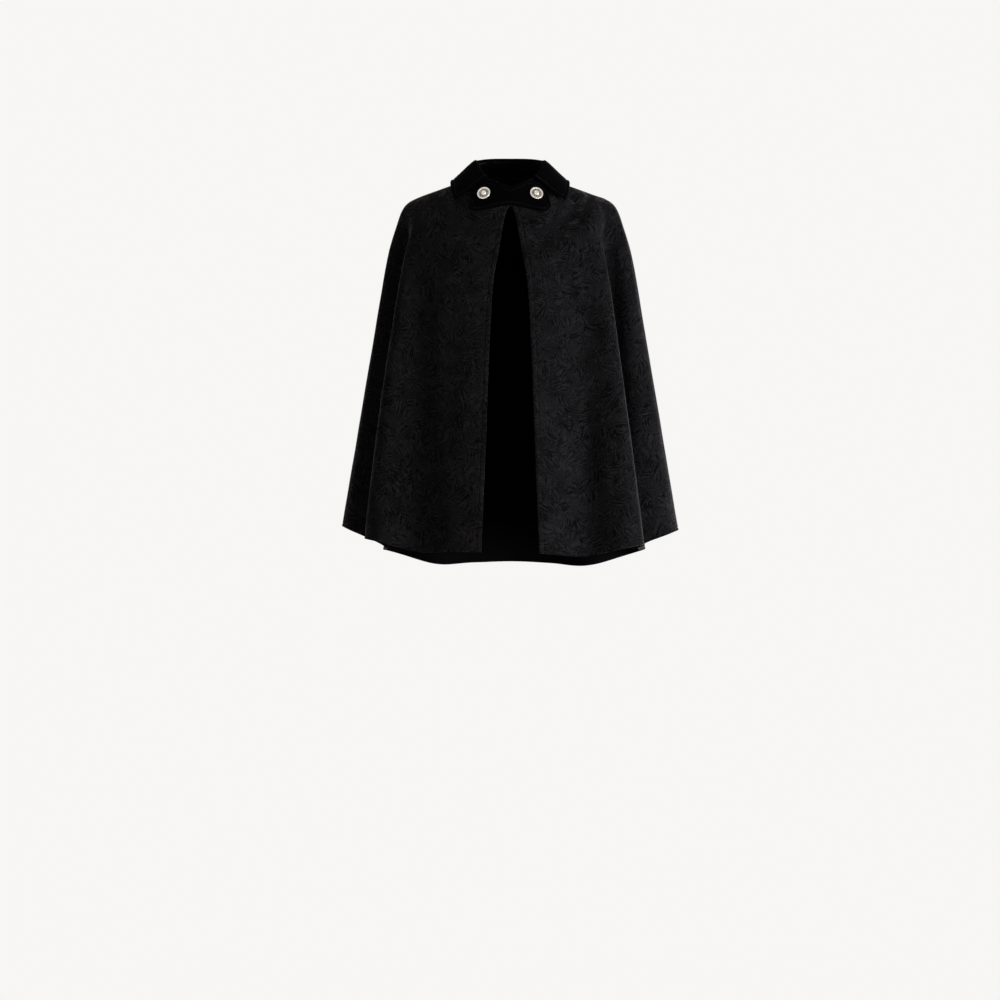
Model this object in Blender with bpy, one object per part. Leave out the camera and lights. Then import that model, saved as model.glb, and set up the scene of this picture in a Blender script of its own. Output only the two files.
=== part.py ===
"""A short cloak of napped cloth, with a velvet collar and a velvet throat tab on two metal buttons.

Metres, +Z up. The wearer faces -Y and the wearer's left is +X. The origin is the middle of the neck, level
with the neck seam at its sides, where the wearer's neck and shoulders hold the cloak up.
"""

import math
from collections import namedtuple

import bmesh
import bpy
from mathutils import Matrix, Vector

MM = 0.001

# Thicknesses and gaps, in millimetres
CLOTH = 2.0
VELVET = 3.0
STAND = 2.5
SEAM_GAP = 0.3
PIECE_GAP = 0.4

# The cloak's rings, from the neck seam to the hem, in millimetres from the origin. Drop is the share of the
# way down the cloth in percent, and half_gap is half of the opening between the two fronts.
Ring = namedtuple("Ring", "drop z_front z_side z_back half_width front_depth back_depth half_gap")
RINGS = (
    Ring(0.0, -48.0, 2.0, 10.0, 68.0, 72.0, 62.0, 0.6),
    Ring(2.5, -63.0, -5.0, -4.5, 86.5, 80.5, 75.0, 1.2),
    Ring(5.0, -78.0, -12.0, -20.0, 105.0, 88.0, 86.0, 8.0),
    Ring(9.0, -104.0, -23.0, -49.0, 135.0, 98.0, 98.0, 13.5),
    Ring(16.5, -154.0, -44.5, -106.0, 191.0, 111.0, 117.0, 21.5),
    Ring(19.5, -174.0, -59.0, -129.0, 207.5, 115.0, 121.5, 25.5),
    Ring(24.0, -206.0, -92.0, -164.0, 220.0, 120.0, 127.0, 31.0),
    Ring(32.0, -261.0, -153.0, -227.0, 235.5, 127.5, 134.5, 35.5),
    Ring(50.0, -384.0, -293.0, -367.0, 256.0, 147.5, 155.5, 41.0),
    Ring(75.0, -556.0, -490.0, -562.0, 284.0, 175.0, 184.0, 47.0),
    Ring(100.0, -727.0, -687.0, -757.0, 312.0, 203.0, 213.0, 54.0),
)
HEM = RINGS[-1].drop

# How fully the hem drops from its sides to front and back, and how much lower it hangs at the wearer's left
HEM_FULLNESS = 2.0
HEM_TILT = 4.0

# The folds that fall from the shoulders. Turns are degrees from the front centre, positive to the wearer's
# left, where a fold starts and where it meets the hem. Reaches are how far it spreads to its lower and higher
# turns. Depth is its height at the hem in millimetres, outwards if positive. Start is the drop where it
# begins, and a fold of higher haste gains more of its depth near the shoulder.
Fold = namedtuple("Fold", "turn_top turn_hem low_reach high_reach depth start haste")
FOLDS = (
    Fold(14.0, 12.0, 13.0, 17.0, 5.0, 30.0, 1.0),
    Fold(34.0, 29.0, 16.0, 16.0, -14.0, 22.0, 1.5),
    Fold(48.0, 46.0, 18.0, 14.0, 26.0, 14.0, 1.2),
    Fold(65.0, 64.5, 15.0, 17.0, -54.0, 13.0, 4.0),
    Fold(91.0, 92.0, 15.0, 15.0, 17.0, 20.0, 1.0),
    Fold(110.0, 110.5, 15.0, 15.0, -42.0, 20.0, 2.0),
    Fold(127.0, 129.0, 15.0, 16.0, 26.0, 20.0, 2.0),
    Fold(150.0, 149.0, 16.0, 16.0, -22.0, 26.0, 1.5),
    Fold(178.0, 178.0, 22.0, 21.0, 14.0, 26.0, 1.0),
    Fold(-151.0, -151.0, 16.0, 16.0, -23.0, 24.0, 1.5),
    Fold(-129.0, -134.0, 15.0, 15.0, 25.0, 20.0, 2.0),
    Fold(-112.0, -115.0, 16.0, 15.0, -44.0, 20.0, 2.0),
    Fold(-92.0, -94.0, 15.0, 15.0, 17.0, 20.0, 1.0),
    Fold(-72.0, -70.0, 16.0, 15.0, -50.0, 14.0, 3.5),
    Fold(-57.0, -52.0, 14.0, 20.0, 29.0, 15.0, 1.2),
    Fold(-33.0, -28.0, 16.0, 16.0, -13.0, 24.0, 1.5),
    Fold(-14.0, -12.0, 17.0, 13.0, 5.0, 30.0, 1.0),
)
FOLD_EASE = 0.15
FLARE_RISE = 0.25

# The seams that join each front to the back run down from the shoulders at this turn.
SIDE_SEAM_TURN = 97.0

# The upper edge of the collar's stand
STAND_TOP_FRONT, STAND_TOP_SIDE, STAND_TOP_BACK = -26.5, 27.0, 39.0
STAND_TOP_HALF_WIDTH, STAND_TOP_FRONT_DEPTH, STAND_TOP_BACK_DEPTH = 66.0, 70.0, 61.0
STAND_FULLNESS = 1.2

# The collar's fall: its ends at the roll and at the tips, the shape of the roll, and the free edge over the
# shoulders, with how far its under side stands off the cloak
FALL_ROLL_TURN, FALL_TIP_TURN = 41.0, 52.0
FALL_ROLL_RISE_BACK, FALL_ROLL_RISE_END = 20.0, 17.0
FALL_ROLL_IN, FALL_SHOULDER, FALL_SAG = 2.0, 14.0, 1.0
FallEdge = namedtuple("FallEdge", "turn drop stand_off")
FALL_EDGE = (
    FallEdge(52.0, 8.9, 3.0),
    FallEdge(70.0, 7.1, 3.5),
    FallEdge(90.0, 6.2, 4.5),
    FallEdge(135.0, 6.8, 3.0),
    FallEdge(180.0, 7.5, 2.0),
)

# Half of the throat tab's outline, from the middle of the front to its end, as seen from the front. The tab
# leans with the chest and bends round the throat, more at its upper edge.
TabRow = namedtuple("TabRow", "share x_top z_top x_bottom z_bottom")
TAB_ROWS = (
    TabRow(0.00, 0.0, -26.5, 0.0, -64.0),
    TabRow(0.14, 10.5, -23.0, 11.5, -65.5),
    TabRow(0.28, 21.0, -18.5, 23.0, -67.5),
    TabRow(0.55, 41.0, -11.0, 43.0, -72.0),
    TabRow(0.80, 58.0, -19.5, 61.0, -75.0),
    TabRow(0.93, 67.0, -26.0, 72.0, -73.0),
    TabRow(1.00, 71.5, -30.0, 79.0, -63.0),
)
TAB_FRONT, TAB_LEAN = 71.9, 0.29
TAB_BEND_HIGH, TAB_BEND_LOW = 0.0040, 0.0011
TAB_BEND_HIGH_Z, TAB_BEND_LOW_Z = -27.0, -66.0

# The buttons, and half of a button's turned outline
BUTTON_X, BUTTON_Z = 50.0, -40.5
BUTTON_FACETS = 28
Turned = namedtuple("Turned", "radius height")
BUTTON_PROFILE = (
    Turned(0.0, 0.0),
    Turned(10.0, 0.0),
    Turned(12.5, 1.0),
    Turned(13.2, 2.4),
    Turned(12.5, 3.7),
    Turned(11.2, 3.9),
    Turned(10.3, 3.0),
    Turned(9.2, 2.6),
    Turned(5.8, 2.8),
    Turned(5.2, 4.0),
    Turned(4.0, 5.4),
    Turned(2.1, 6.2),
    Turned(0.0, 6.4),
)

# Grid of each wall: columns round the body and rows down
FRONT_GRID = (25, 23)
BACK_GRID = (42, 23)
FALL_GRID = (44, 8)
STAND_GRID = (56, 2)
TAB_GRID = (26, 5)

# The stand's columns carry on at the fall's own step, so that the two edges match all the way round.
STAND_END_TURN = 180.0 - (180.0 - FALL_ROLL_TURN) * STAND_GRID[0] / FALL_GRID[0]


def mix(a, b, share):
    """The value a share of the way from a to b."""
    return a + (b - a) * share


def eased(share):
    """A share from 0 to 1 that sets off and arrives gently."""
    share = min(max(share, 0.0), 1.0)
    return share**2 * (3 - 2 * share)


def between(rows, name, at):
    """One column of a table at a place between its rows, on a smooth curve through all the rows."""
    places = [row[0] for row in rows]
    values = [getattr(row, name) for row in rows]
    last = len(rows) - 1
    i = max(0, min(last - 1, sum(place <= at for place in places) - 1))

    def slope(k):
        before, after = max(k - 1, 0), min(k + 1, last)
        return (values[after] - values[before]) / (places[after] - places[before])

    span = places[i + 1] - places[i]
    t = (at - places[i]) / span
    return (
        values[i] * (2 * t**3 - 3 * t**2 + 1)
        + values[i + 1] * (3 * t**2 - 2 * t**3)
        + span * slope(i) * (t**3 - 2 * t**2 + t)
        + span * slope(i + 1) * (t**3 - t**2)
    )


def hang(cosine, fullness):
    """How far a ring has dropped from its sides, 0, to its front or back, 1."""
    lean = abs(cosine)
    return lean**2 * (1 + fullness * (1 - lean))


def fold_height(turn, drop):
    """How far the folds push the cloth outwards here, in millimetres."""
    height = 0.0
    for fold in FOLDS:
        way = max(0.0, (drop - fold.start) / (HEM - fold.start))
        centre = mix(fold.turn_top, fold.turn_hem, way)
        away = (turn - centre + 180.0) % 360.0 - 180.0
        reach = fold.high_reach if away > 0.0 else fold.low_reach
        if abs(away) < reach:
            grown = (1 - (1 - way) ** fold.haste) * eased(way / FOLD_EASE)
            height += fold.depth * grown * math.cos(math.pi / 2 * away / reach) ** 2
    return height


def cloak_point(turn, drop):
    """A point on the outside of the cloak, in metres."""
    ring = Ring(drop, *(between(RINGS, name, drop) for name in Ring._fields[1:]))
    sine, cosine = math.sin(math.radians(turn)), math.cos(math.radians(turn))
    depth, z_end = (ring.front_depth, ring.z_front) if cosine > 0 else (ring.back_depth, ring.z_back)
    outward = Vector((sine / ring.half_width, -cosine / depth, 0.0)).normalized()
    way = drop / HEM
    z = mix(ring.z_side, z_end, hang(cosine, HEM_FULLNESS * way)) - HEM_TILT * sine * way
    height = fold_height(turn, drop)
    point = Vector((ring.half_width * sine, -depth * cosine, z + FLARE_RISE * height))
    return (point + outward * height) * MM


def normal_of(surface, u, v):
    """The unit normal of a surface that is given by two shares from 0 to 1."""
    step = 1e-4
    along = surface(min(u + step, 1.0), v) - surface(max(u - step, 0.0), v)
    across = surface(u, min(v + step, 1.0)) - surface(u, max(v - step, 0.0))
    return along.cross(across).normalized()


def add_object(name, bm, material):
    mesh = bpy.data.meshes.new(name)
    bm.to_mesh(mesh)
    bm.free()
    mesh.materials.append(material)
    mesh.shade_smooth()
    mesh.set_sharp_from_angle(angle=math.radians(50))
    obj = bpy.data.objects.new(name, mesh)
    bpy.context.scene.collection.objects.link(obj)
    return obj


def add_wall(name, grid, outside, thickness, material):
    """A closed wall behind a surface, which is its outer face."""
    columns, rows = grid
    bm = bmesh.new()
    layers = []
    for depth in (0.0, thickness * MM):
        made = bmesh.ops.create_grid(bm, x_segments=columns, y_segments=rows, size=0.5)
        for vert in made["verts"]:
            u, v = (min(max(value + 0.5, 0.0), 1.0) for value in vert.co.xy)
            vert.co = outside(u, v) - normal_of(outside, u, v) * depth
        layers.append(made["verts"])
    inner = dict(zip(*layers))
    for edge in [edge for edge in bm.edges if edge.is_boundary and edge.verts[0] in inner]:
        a, b = edge.verts
        bm.faces.new((a, b, inner[b], inner[a]))
    bmesh.ops.recalc_face_normals(bm, faces=bm.faces)
    return add_object(name, bm, material)


def seam_turn(drop, side):
    """The turn of a panel's edge at the side seam, half a seam gap from the seam's line."""
    ahead, behind = cloak_point(SIDE_SEAM_TURN + 0.5, drop), cloak_point(SIDE_SEAM_TURN - 0.5, drop)
    per_degree = (ahead - behind).length
    return SIDE_SEAM_TURN + side * SEAM_GAP * MM / 2 / per_degree


def front_edge_turn(drop):
    """The turn of a front's free edge, which leaves half of the opening to its own side."""
    half_gap, half_width = between(RINGS, "half_gap", drop), between(RINGS, "half_width", drop)
    return math.degrees(math.asin(half_gap / half_width))


def add_front(name, side, material):
    """One front panel. Side is 1 for the wearer's left and -1 for the right."""

    def outside(u, v):
        drop = HEM * v
        share = u if side > 0 else 1 - u
        return cloak_point(side * mix(seam_turn(drop, -1), front_edge_turn(drop), share), drop)

    return add_wall(name, FRONT_GRID, outside, CLOTH, material)


def add_back(name, material):
    """The back panel, between the two side seams."""

    def outside(u, v):
        drop = HEM * v
        edge = seam_turn(drop, 1)
        return cloak_point(mix(360.0 - edge, edge, u), drop)

    return add_wall(name, BACK_GRID, outside, CLOTH, material)


def stand_top(turn):
    """The middle of the upper edge of the collar's stand."""
    sine, cosine = math.sin(math.radians(turn)), math.cos(math.radians(turn))
    if cosine > 0:
        depth, z_end = STAND_TOP_FRONT_DEPTH, STAND_TOP_FRONT
    else:
        depth, z_end = STAND_TOP_BACK_DEPTH, STAND_TOP_BACK
    z = mix(STAND_TOP_SIDE, z_end, hang(cosine, STAND_FULLNESS))
    return Vector((STAND_TOP_HALF_WIDTH * sine, -depth * cosine, z)) * MM


def add_stand(name, material):
    """The upright band on the cloak's neck edge, with its ends just apart behind the tab."""

    def outside(u, v):
        turn = mix(360.0 - STAND_END_TURN, STAND_END_TURN, u)
        top = stand_top(turn)
        bottom = cloak_point(turn, 0.0) + Vector((0.0, 0.0, PIECE_GAP * MM))
        outward = Vector((top.x, top.y, 0.0)).normalized()
        return top.lerp(bottom, v) + outward * STAND / 2 * MM

    return add_wall(name, STAND_GRID, outside, STAND, material)


def shoulder(u, v):
    """The whole cloak as one surface, all the way round and down."""
    return cloak_point(mix(360.0, 0.0, u), HEM * v)


def fall_edge(turn):
    """The free edge of the collar's fall, on its exposed face, over the cloak's own points."""
    half_turn = min(turn, 360.0 - turn)
    drop = between(FALL_EDGE, "drop", half_turn)
    lift = between(FALL_EDGE, "stand_off", half_turn) + VELVET
    return cloak_point(turn, drop) + normal_of(shoulder, 1 - turn / 360.0, drop / HEM) * lift * MM


def add_fall(name, material):
    """The collar's fall, from the roll on top of the stand over to its free edge."""
    up = Vector((0.0, 0.0, MM))

    def outside(u, v):
        top = stand_top(mix(360.0 - FALL_ROLL_TURN, FALL_ROLL_TURN, u))
        outward = Vector((top.x, top.y, 0.0)).normalized() * MM
        rise = mix(FALL_ROLL_RISE_BACK, FALL_ROLL_RISE_END, abs(2 * u - 1) ** 4)
        start = top - outward * VELVET / 2 + up * PIECE_GAP
        roll = start - outward * FALL_ROLL_IN + up * rise
        slope = start + outward * FALL_SHOULDER - up * FALL_SAG
        edge = fall_edge(mix(360.0 - FALL_TIP_TURN, FALL_TIP_TURN, u))
        w = 1 - v
        return start * w**3 + roll * 3 * w**2 * v + slope * 3 * w * v**2 + edge * v**3

    return add_wall(name, FALL_GRID, outside, VELVET, material)


def tab_face(x, z):
    """A point on the tab's outer face, in millimetres."""
    bend_share = (z - TAB_BEND_LOW_Z) / (TAB_BEND_HIGH_Z - TAB_BEND_LOW_Z)
    bend = mix(TAB_BEND_LOW, TAB_BEND_HIGH, bend_share)
    y = bend * x**2 - TAB_FRONT - TAB_LEAN * (STAND_TOP_FRONT - z) - VELVET
    return Vector((x, y, z))


def add_tab(name, material):
    """The throat tab, from the wearer's left end to the right."""

    def outside(u, v):
        side = math.copysign(1.0, 0.5 - u)
        share = abs(1 - 2 * u)
        x = mix(between(TAB_ROWS, "x_top", share), between(TAB_ROWS, "x_bottom", share), v)
        z = mix(between(TAB_ROWS, "z_top", share), between(TAB_ROWS, "z_bottom", share), v)
        return tab_face(side * x, z) * MM

    return add_wall(name, TAB_GRID, outside, VELVET, material)


def add_button(name, side, material):
    """A turned metal button on the tab, with a raised rim and a domed middle."""
    x = side * BUTTON_X
    across = tab_face(x + 0.5, BUTTON_Z) - tab_face(x - 0.5, BUTTON_Z)
    rise = tab_face(x, BUTTON_Z + 0.5) - tab_face(x, BUTTON_Z - 0.5)
    axis = across.cross(rise).normalized()
    seat = tab_face(x, BUTTON_Z) + axis * PIECE_GAP

    bm = bmesh.new()
    outline = [bm.verts.new(Vector((point.radius, 0.0, point.height)) * MM) for point in BUTTON_PROFILE]
    edges = [bm.edges.new(pair) for pair in zip(outline, outline[1:])]
    bmesh.ops.spin(
        bm,
        geom=outline + edges,
        cent=(0.0, 0.0, 0.0),
        axis=(0.0, 0.0, 1.0),
        angle=math.tau,
        steps=BUTTON_FACETS,
        use_merge=True,
    )
    bmesh.ops.remove_doubles(bm, verts=bm.verts, dist=1e-6)
    bmesh.ops.recalc_face_normals(bm, faces=bm.faces)
    button = add_object(name, bm, material)
    button.matrix_world = Matrix.LocRotScale(seat * MM, axis.to_track_quat("Z", "Y"), None)
    return button


def add_material(name, colour, roughness, metallic):
    material = bpy.data.materials.new(name)
    material.use_nodes = True
    shader = material.node_tree.nodes["Principled BSDF"]
    shader.inputs["Base Color"].default_value = (*colour, 1.0)
    shader.inputs["Roughness"].default_value = roughness
    shader.inputs["Metallic"].default_value = metallic
    return material


def main():
    for obj in list(bpy.data.objects):
        bpy.data.objects.remove(obj)
    cloth = add_material("black napped cloth", (0.011, 0.011, 0.012), 0.9, 0.0)
    velvet = add_material("black velvet", (0.004, 0.004, 0.005), 0.95, 0.0)
    metal = add_material("bright metal", (0.78, 0.76, 0.72), 0.25, 1.0)
    add_front("front_left", 1, cloth)
    add_front("front_right", -1, cloth)
    add_back("back", cloth)
    add_stand("collar_stand", velvet)
    add_fall("collar_fall", velvet)
    add_tab("throat_tab", velvet)
    add_button("button_left", 1, metal)
    add_button("button_right", -1, metal)


main()
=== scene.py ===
"""A short cloak of figured black cloth, with a velvet collar and a velvet throat tab on two metal buttons.

Metres, +Z up. The wearer faces -Y and the wearer's left is +X. The tables are in millimetres, in degrees of
turn from the front centre towards the wearer's left, and in percent of the way down the cloth.
"""

import math
from collections import namedtuple
from functools import partial

import bmesh
import bpy
import numpy as np
from bpy.props import FloatProperty, FloatVectorProperty, IntProperty, PointerProperty
from mathutils import Matrix, Vector, noise


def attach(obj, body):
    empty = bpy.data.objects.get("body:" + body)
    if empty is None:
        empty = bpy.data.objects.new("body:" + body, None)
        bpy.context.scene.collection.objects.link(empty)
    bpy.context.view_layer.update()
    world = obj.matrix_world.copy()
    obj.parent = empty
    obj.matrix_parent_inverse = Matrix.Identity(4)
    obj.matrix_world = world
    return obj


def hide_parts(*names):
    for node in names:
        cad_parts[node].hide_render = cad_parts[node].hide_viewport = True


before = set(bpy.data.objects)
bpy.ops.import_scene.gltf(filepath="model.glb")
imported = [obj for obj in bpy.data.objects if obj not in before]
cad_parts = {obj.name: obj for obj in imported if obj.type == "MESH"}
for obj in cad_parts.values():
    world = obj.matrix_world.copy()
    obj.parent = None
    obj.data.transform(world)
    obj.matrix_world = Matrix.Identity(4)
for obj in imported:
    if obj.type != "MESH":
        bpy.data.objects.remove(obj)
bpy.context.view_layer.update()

bl_info = {
    "name": "Short cloak",
    "version": (1, 0, 0),
    "blender": (4, 5, 0),
    "location": "3D View > Sidebar > Cloak",
    "description": "Builds a short cloak with a velvet collar, and the stage it is shown on",
    "category": "Object",
}

MM = 0.001
BODY = "root"

# The cloak's rings, from the neck seam to the hem
Ring = namedtuple("Ring", "drop z_front z_side z_back half_width front_depth back_depth half_gap")
RINGS = (
    Ring(0.0, -48.0, 2.0, 10.0, 68.0, 72.0, 62.0, 0.6),
    Ring(2.5, -63.0, -5.0, -4.5, 86.5, 80.5, 75.0, 1.2),
    Ring(5.0, -78.0, -12.0, -20.0, 105.0, 88.0, 86.0, 8.0),
    Ring(9.0, -104.0, -23.0, -49.0, 135.0, 98.0, 98.0, 13.5),
    Ring(16.5, -154.0, -44.5, -106.0, 191.0, 111.0, 117.0, 21.5),
    Ring(19.5, -174.0, -59.0, -129.0, 207.5, 115.0, 121.5, 25.5),
    Ring(24.0, -206.0, -92.0, -164.0, 220.0, 120.0, 127.0, 31.0),
    Ring(32.0, -261.0, -153.0, -227.0, 235.5, 127.5, 134.5, 35.5),
    Ring(50.0, -384.0, -293.0, -367.0, 256.0, 147.5, 155.5, 41.0),
    Ring(75.0, -556.0, -490.0, -562.0, 284.0, 175.0, 184.0, 47.0),
    Ring(100.0, -727.0, -687.0, -757.0, 312.0, 203.0, 213.0, 54.0),
)
HEM = RINGS[-1].drop

# How fully the hem hangs between its sides and its middles, and how far it drops towards the wearer's left
HEM_FULLNESS = 2.0
HEM_TILT = 4.0

# The folds that fall from the shoulders: where each starts and meets the hem, how far it spreads to its lower
# and higher turns, its height at the hem, the drop where it begins, and how early it gains its depth
Fold = namedtuple("Fold", "turn_top turn_hem low_reach high_reach depth start haste")
FOLDS = (
    Fold(14.0, 12.0, 13.0, 17.0, 5.0, 30.0, 1.0),
    Fold(37.0, 28.0, 25.0, 16.0, -26.0, 18.0, 1.8),
    Fold(48.0, 46.0, 18.0, 14.0, 26.0, 14.0, 1.2),
    Fold(65.0, 64.5, 15.0, 17.0, -54.0, 13.0, 4.0),
    Fold(91.0, 92.0, 15.0, 15.0, 17.0, 20.0, 1.0),
    Fold(110.0, 110.5, 15.0, 15.0, -42.0, 20.0, 2.0),
    Fold(127.0, 129.0, 15.0, 16.0, 26.0, 20.0, 2.0),
    Fold(150.0, 149.0, 16.0, 16.0, -22.0, 26.0, 1.5),
    Fold(178.0, 178.0, 22.0, 21.0, 14.0, 26.0, 1.0),
    Fold(-151.0, -151.0, 16.0, 16.0, -23.0, 24.0, 1.5),
    Fold(-129.0, -134.0, 15.0, 15.0, 25.0, 20.0, 2.0),
    Fold(-112.0, -115.0, 16.0, 15.0, -44.0, 20.0, 2.0),
    Fold(-92.0, -94.0, 15.0, 15.0, 17.0, 20.0, 1.0),
    Fold(-72.0, -70.0, 16.0, 15.0, -50.0, 14.0, 3.5),
    Fold(-57.0, -52.0, 14.0, 20.0, 29.0, 15.0, 1.2),
    Fold(-50.0, -33.5, 17.0, 14.0, -20.0, 18.0, 1.5),
    Fold(-14.0, -12.0, 17.0, 13.0, 5.0, 30.0, 1.0),
)

# How soon a fold sets in, how far the cloth rises with it, and where the side seams lie
FOLD_EASE = 0.15
FLARE_RISE = 0.25
SIDE_SEAM_TURN = 97.0

# The creases on and between the folds: where each runs from and to, how far it bows to the side in degrees,
# its height, outwards if positive, and the distance from its middle at which it has nearly died away
Crease = namedtuple("Crease", "turn_start drop_start turn_end drop_end bow height width")
CREASES = (
    Crease(6.0, 58.0, 9.0, 103.0, 0.6, -1.6, 11.0),
    Crease(18.0, 40.0, 20.0, 88.0, -0.8, 1.4, 14.0),
    Crease(24.0, 12.0, 46.0, 22.0, 2.0, -1.8, 12.0),
    Crease(30.0, 8.0, 58.0, 14.0, 2.5, 1.5, 10.0),
    Crease(38.0, 62.0, 37.0, 103.0, 0.5, 1.8, 10.0),
    Crease(48.0, 10.0, 48.5, 100.0, 0.0, 5.0, 17.0),
    Crease(68.0, 9.0, 66.5, 92.0, 0.0, -13.0, 20.0),
    Crease(88.0, 14.5, 8.0, 21.5, 0.0, 10.5, 24.0),
    Crease(84.0, 8.5, 8.0, 14.5, 0.0, -9.5, 24.0),
    Crease(41.0, 18.0, 56.0, 34.0, -1.5, -1.3, 13.0),
    Crease(80.0, 34.0, 79.0, 96.0, 0.8, -1.7, 11.0),
    Crease(70.0, 9.0, 84.0, 22.0, 1.0, -1.4, 12.0),
    Crease(-7.0, 66.0, -9.0, 103.0, -0.5, -1.4, 10.0),
    Crease(-20.0, 34.0, -21.0, 76.0, 0.9, 1.5, 15.0),
    Crease(-26.0, 10.0, -50.0, 19.0, -2.0, -2.0, 12.0),
    Crease(-34.0, 7.0, -60.0, 12.5, -2.5, 1.4, 9.0),
    Crease(-40.0, 55.0, -38.0, 98.0, -0.6, 1.7, 11.0),
    Crease(-44.0, 17.0, -55.0, 31.0, 1.5, -1.5, 12.0),
    Crease(-60.5, 14.0, -56.5, 106.0, 0.0, 7.0, 26.0),
    Crease(-82.0, 42.0, -81.0, 103.0, -0.7, -1.5, 10.0),
    Crease(-73.0, 10.0, -86.0, 21.0, -1.0, -1.5, 13.0),
    Crease(101.0, 28.0, 101.0, 72.0, 0.7, 1.6, 13.0),
    Crease(119.0, 46.0, 120.0, 103.0, -0.8, -1.8, 11.0),
    Crease(138.0, 30.0, 139.0, 84.0, 0.9, 1.5, 14.0),
    Crease(132.0, 11.0, 158.0, 20.0, 2.5, -1.9, 13.0),
    Crease(163.0, 52.0, 164.0, 103.0, -0.6, -1.6, 12.0),
    Crease(171.0, 22.0, 170.0, 61.0, 0.8, 1.3, 15.0),
    Crease(189.0, 60.0, 188.0, 103.0, 0.7, -1.7, 11.0),
    Crease(197.0, 36.0, 196.0, 82.0, -0.9, 1.4, 14.0),
    Crease(226.0, 12.0, 201.0, 22.0, -2.5, -1.7, 12.0),
    Crease(219.0, 44.0, 218.0, 95.0, 0.8, 1.6, 13.0),
    Crease(238.0, 38.0, 237.0, 103.0, -0.7, -1.5, 11.0),
    Crease(257.0, 30.0, 258.0, 66.0, 0.6, 1.7, 12.0),
)

# How many steps a crease's path has, and how many of its widths away from it the cloth is looked at
CREASE_STEPS = 48
CREASE_WIDTHS = 3

# How far the cloth and the velvet waver from their forms, over how long a stretch
CLOTH_WAVER, VELVET_WAVER = 0.45, 0.3
WAVER_LENGTH = 62.0

# The upper edge of the collar's stand, where the stand ends, and the gap between two pieces
STAND_TOP_FRONT, STAND_TOP_SIDE, STAND_TOP_BACK = -26.5, 27.0, 39.0
STAND_TOP_HALF_WIDTH, STAND_TOP_FRONT_DEPTH, STAND_TOP_BACK_DEPTH = 66.0, 70.0, 61.0
STAND_FULLNESS = 1.2
STAND_END_TURN = 3.09
PIECE_GAP = 0.4

# The collar's fall: its ends at the roll and at the tips, the shape of the roll, and its free edge
FALL_ROLL_TURN, FALL_TIP_TURN = 41.0, 52.0
FALL_ROLL_RISE_BACK, FALL_ROLL_RISE_END = 20.0, 17.0
FALL_ROLL_IN, FALL_SHOULDER, FALL_SAG = 2.0, 14.0, 1.0
FallEdge = namedtuple("FallEdge", "turn drop stand_off")
FALL_EDGE = (
    FallEdge(52.0, 8.9, 3.0),
    FallEdge(70.0, 7.1, 3.5),
    FallEdge(90.0, 6.2, 4.5),
    FallEdge(135.0, 6.8, 3.0),
    FallEdge(180.0, 7.5, 2.0),
)

# Half of the throat tab's outline, from the middle of the front to its end
TabRow = namedtuple("TabRow", "share x_top z_top x_bottom z_bottom")
TAB_ROWS = (
    TabRow(0.00, 0.0, -26.5, 0.0, -64.0),
    TabRow(0.14, 10.5, -23.0, 11.5, -65.5),
    TabRow(0.28, 21.0, -18.5, 23.0, -67.5),
    TabRow(0.55, 41.0, -11.0, 43.0, -72.0),
    TabRow(0.80, 58.0, -19.5, 61.0, -75.0),
    TabRow(0.93, 67.0, -26.0, 72.0, -73.0),
    TabRow(1.00, 71.5, -30.0, 79.0, -63.0),
)

# The tab's face: how far forward it lies, how it leans out lower down, and how it bends round at two heights
TAB_FRONT, TAB_LEAN = 71.9, 0.29
TAB_BEND_HIGH, TAB_BEND_LOW = 0.0040, 0.0011
TAB_BEND_HIGH_Z, TAB_BEND_LOW_Z = -27.0, -66.0

# The buttons: where they sit, and half of a button's turned outline
BUTTON_X, BUTTON_Z = 50.0, -40.5
Turned = namedtuple("Turned", "radius height")
BUTTON_PROFILE = (
    Turned(0.0, 0.0),
    Turned(10.4, 0.0),
    Turned(12.4, 0.8),
    Turned(13.1, 1.9),
    Turned(13.1, 2.7),
    Turned(12.9, 3.3),
    Turned(12.5, 3.7),
    Turned(11.5, 3.85),
    Turned(10.5, 3.7),
    Turned(10.1, 3.3),
    Turned(9.9, 2.6),
    Turned(9.0, 2.3),
    Turned(6.2, 2.5),
    Turned(5.5, 2.7),
    Turned(5.2, 3.5),
    Turned(4.8, 4.5),
    Turned(4.0, 5.4),
    Turned(2.9, 6.0),
    Turned(1.5, 6.3),
    Turned(0.0, 6.4),
)
BUTTON_STEPS = 72

# The ring of a button that is tarnished, and the petals and beads that are cast on it
HOLLOW_INNER, HOLLOW_OUTER = 5.3, 10.05
PETAL_PLACE, PETAL_TURN = Vector((7.3, 0.0, 2.5)), 50.0
PETAL_HALF_SIZES = (2.2, 0.9, 1.0)
PETAL_TARNISH = 0.6
BEAD_PLACE, BEAD_RADIUS = Vector((9.5, 0.0, 2.6)), 0.55

# Where a grid's lines lie, from a rounded edge inwards and across a stitched line, and how many millimetres
# of cloth one percent of drop takes
EDGE_STEPS = np.array((0.0, 0.25, 0.6, 1.1, 1.8, 2.8))
LINE_STEPS = np.array((-2.2, -1.2, -0.7, -0.3, 0.0, 0.3, 0.7, 1.2, 2.2))
MM_PER_DROP = 7.0

# How many plain rows and columns a sheet's grid has, and how far the velvet's grids reach across and down
PANEL_ROWS, FRONT_COLUMNS, BACK_COLUMNS = 166, 96, 210
STAND_ROWS, STAND_COLUMNS = 16, 220
FALL_ROWS, FALL_COLUMNS = 34, 170
TAB_PLAIN_ROWS, TAB_PLAIN_COLUMNS = 12, 70
FALL_ACROSS, FALL_DOWN = 560.0, 75.0
TAB_ACROSS, TAB_DOWN = 160.0, 50.0

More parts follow.
